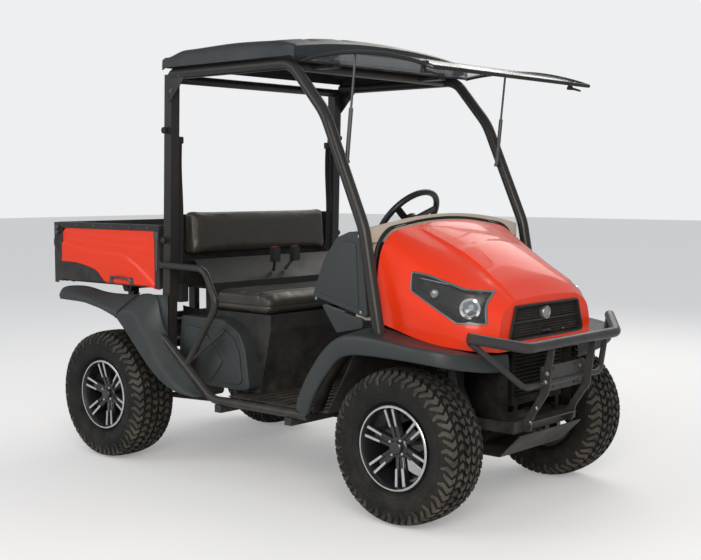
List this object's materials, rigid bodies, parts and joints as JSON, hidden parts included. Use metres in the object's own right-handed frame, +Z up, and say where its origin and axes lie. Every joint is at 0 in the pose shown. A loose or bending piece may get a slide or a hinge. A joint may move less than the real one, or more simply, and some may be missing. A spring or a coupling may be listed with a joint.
{
  "type": "side by side utility vehicle",
  "caption": "Side by side utility vehicle with roof, raised clear windshield, front guard and tipping cargo bed.",
  "frame": {"origin": "on the ground, midway between the axles and midway between the wheels' sides", "axes": "+Z up, front of the vehicle towards -Y, its left side towards +X"},
  "size_m": [1.38, 2.77, 2.0179],
  "materials": {
    "chassis_black": "semi-gloss",
    "body_orange": "gloss",
    "body_plastic": "grained",
    "trim_black": "grained",
    "tyre": "matt",
    "rim_silver": "machined and black",
    "steel": "satin",
    "engine": "rough",
    "vinyl": "satin",
    "lamp_glass": "clear",
    "lamp_red": "clear",
    "screen": "clear",
    "webbing": "woven"
  },
  "bodies": {
    "chassis": {"chassis_frame": "chassis_black", "front_towers": "chassis_black", "rear_mounts": "chassis_black", "skid_plate": "steel", "front_arms": "chassis_black", "spring_units": "steel", "rack_housing": "steel", "driveline": "engine", "rear_axle_beam": "chassis_black", "engine_block": "engine", "silencer": "steel", "drawbar": "chassis_black", "cowl": "trim_black", "dashboard": "trim_black", "steering_column": "trim_black", "floor_pan": "trim_black", "side_panels": "body_plastic", "front_fenders": "body_plastic", "rear_fenders": "body_plastic", "rops_sides": "chassis_black", "rops_cross_tubes": "chassis_black", "roof_panel": "body_plastic", "windshield": "screen", "windshield_struts": "steel", "front_guard": "chassis_black", "lamp_brackets": "chassis_black", "tail_lamps": "lamp_red", "radiator": "engine", "sill_tubes": "chassis_black", "hip_guards": "chassis_black", "seat_base": "trim_black", "seat_side_panels": "body_plastic", "seat_cushion": "vinyl", "seat_back_panel": "trim_black", "seat_backrest": "vinyl", "backrest_frame": "chassis_black", "seat_belts": "webbing", "pedals_and_lever": "steel"},
    "knuckle_left": {"knuckle_left": "engine"},
    "knuckle_right": {"knuckle_right": "engine"},
    "steering_rack": {"steering_rack": "steel"},
    "steering_wheel": {"steering_wheel": "trim_black"},
    "hood": {"hood": "body_orange", "headlights": "lamp_glass", "grille": "trim_black"},
    "bed": {"bed_tub": "trim_black", "bed_side_panels": "body_orange"},
    "tailgate": {"tailgate": "body_orange"},
    "wheel_front_left": {"rim_front_left": "rim_silver", "tyre_front_left": "tyre"},
    "wheel_front_right": {"rim_front_right": "rim_silver", "tyre_front_right": "tyre"},
    "wheel_rear_left": {"rim_rear_left": "rim_silver", "tyre_rear_left": "tyre"},
    "wheel_rear_right": {"rim_rear_right": "rim_silver", "tyre_rear_right": "tyre"}
  },
  "joints": [
    {"name": "steer_left", "type": "hinge", "parent": "chassis", "child": "knuckle_left", "pos_m": [0.455, -0.9285, 0.24], "axis": [-0.2785, 0, 0.9604], "range_deg": [-28, 28]},
    {"name": "steer_right", "type": "hinge", "parent": "chassis", "child": "knuckle_right", "pos_m": [-0.455, -0.9285, 0.24], "axis": [0.2785, 0, 0.9604], "range_deg": [-28, 28]},
    {"name": "spin_front_left", "type": "hinge", "parent": "knuckle_left", "child": "wheel_front_left", "pos_m": [0.55, -0.9285, 0.316], "axis": [1, 0, 0], "continuous": true},
    {"name": "spin_front_right", "type": "hinge", "parent": "knuckle_right", "child": "wheel_front_right", "pos_m": [-0.55, -0.9285, 0.316], "axis": [1, 0, 0], "continuous": true},
    {"name": "spin_rear_left", "type": "hinge", "parent": "chassis", "child": "wheel_rear_left", "pos_m": [0.55, 0.9285, 0.316], "axis": [1, 0, 0], "continuous": true},
    {"name": "spin_rear_right", "type": "hinge", "parent": "chassis", "child": "wheel_rear_right", "pos_m": [-0.55, 0.9285, 0.316], "axis": [1, 0, 0], "continuous": true},
    {"name": "rack_slide", "type": "slide", "parent": "chassis", "child": "steering_rack", "axis": [1, 0, 0], "range_m": [-0.0535, 0.0535]},
    {"name": "steering_wheel_turn", "type": "hinge", "parent": "chassis", "child": "steering_wheel", "pos_m": [0.29, -0.262, 1.18], "axis": [0, 0.788, 0.6157], "range_deg": [-365, 365]},
    {"name": "hood_hinge", "type": "hinge", "parent": "chassis", "child": "hood", "pos_m": [0, -0.732, 1.19], "axis": [-1, 0, 0], "range_deg": [0, 50]},
    {"name": "bed_hinge", "type": "hinge", "parent": "chassis", "child": "bed", "pos_m": [0, 1.215, 0.812], "axis": [-1, 0, 0], "range_deg": [0, 40]},
    {"name": "tailgate_hinge", "type": "hinge", "parent": "bed", "child": "tailgate", "pos_m": [0, 1.338, 0.862], "axis": [-1, 0, 0], "range_deg": [0, 90]}
  ],
  "couplings": [
    {"joint": "steer_right", "follows": "steer_left", "ratio": 1},
    {"joint": "rack_slide", "follows": "steer_left", "m_per_rad": -0.108},
    {"joint": "steering_wheel_turn", "follows": "steer_left", "ratio": 13}
  ]
}
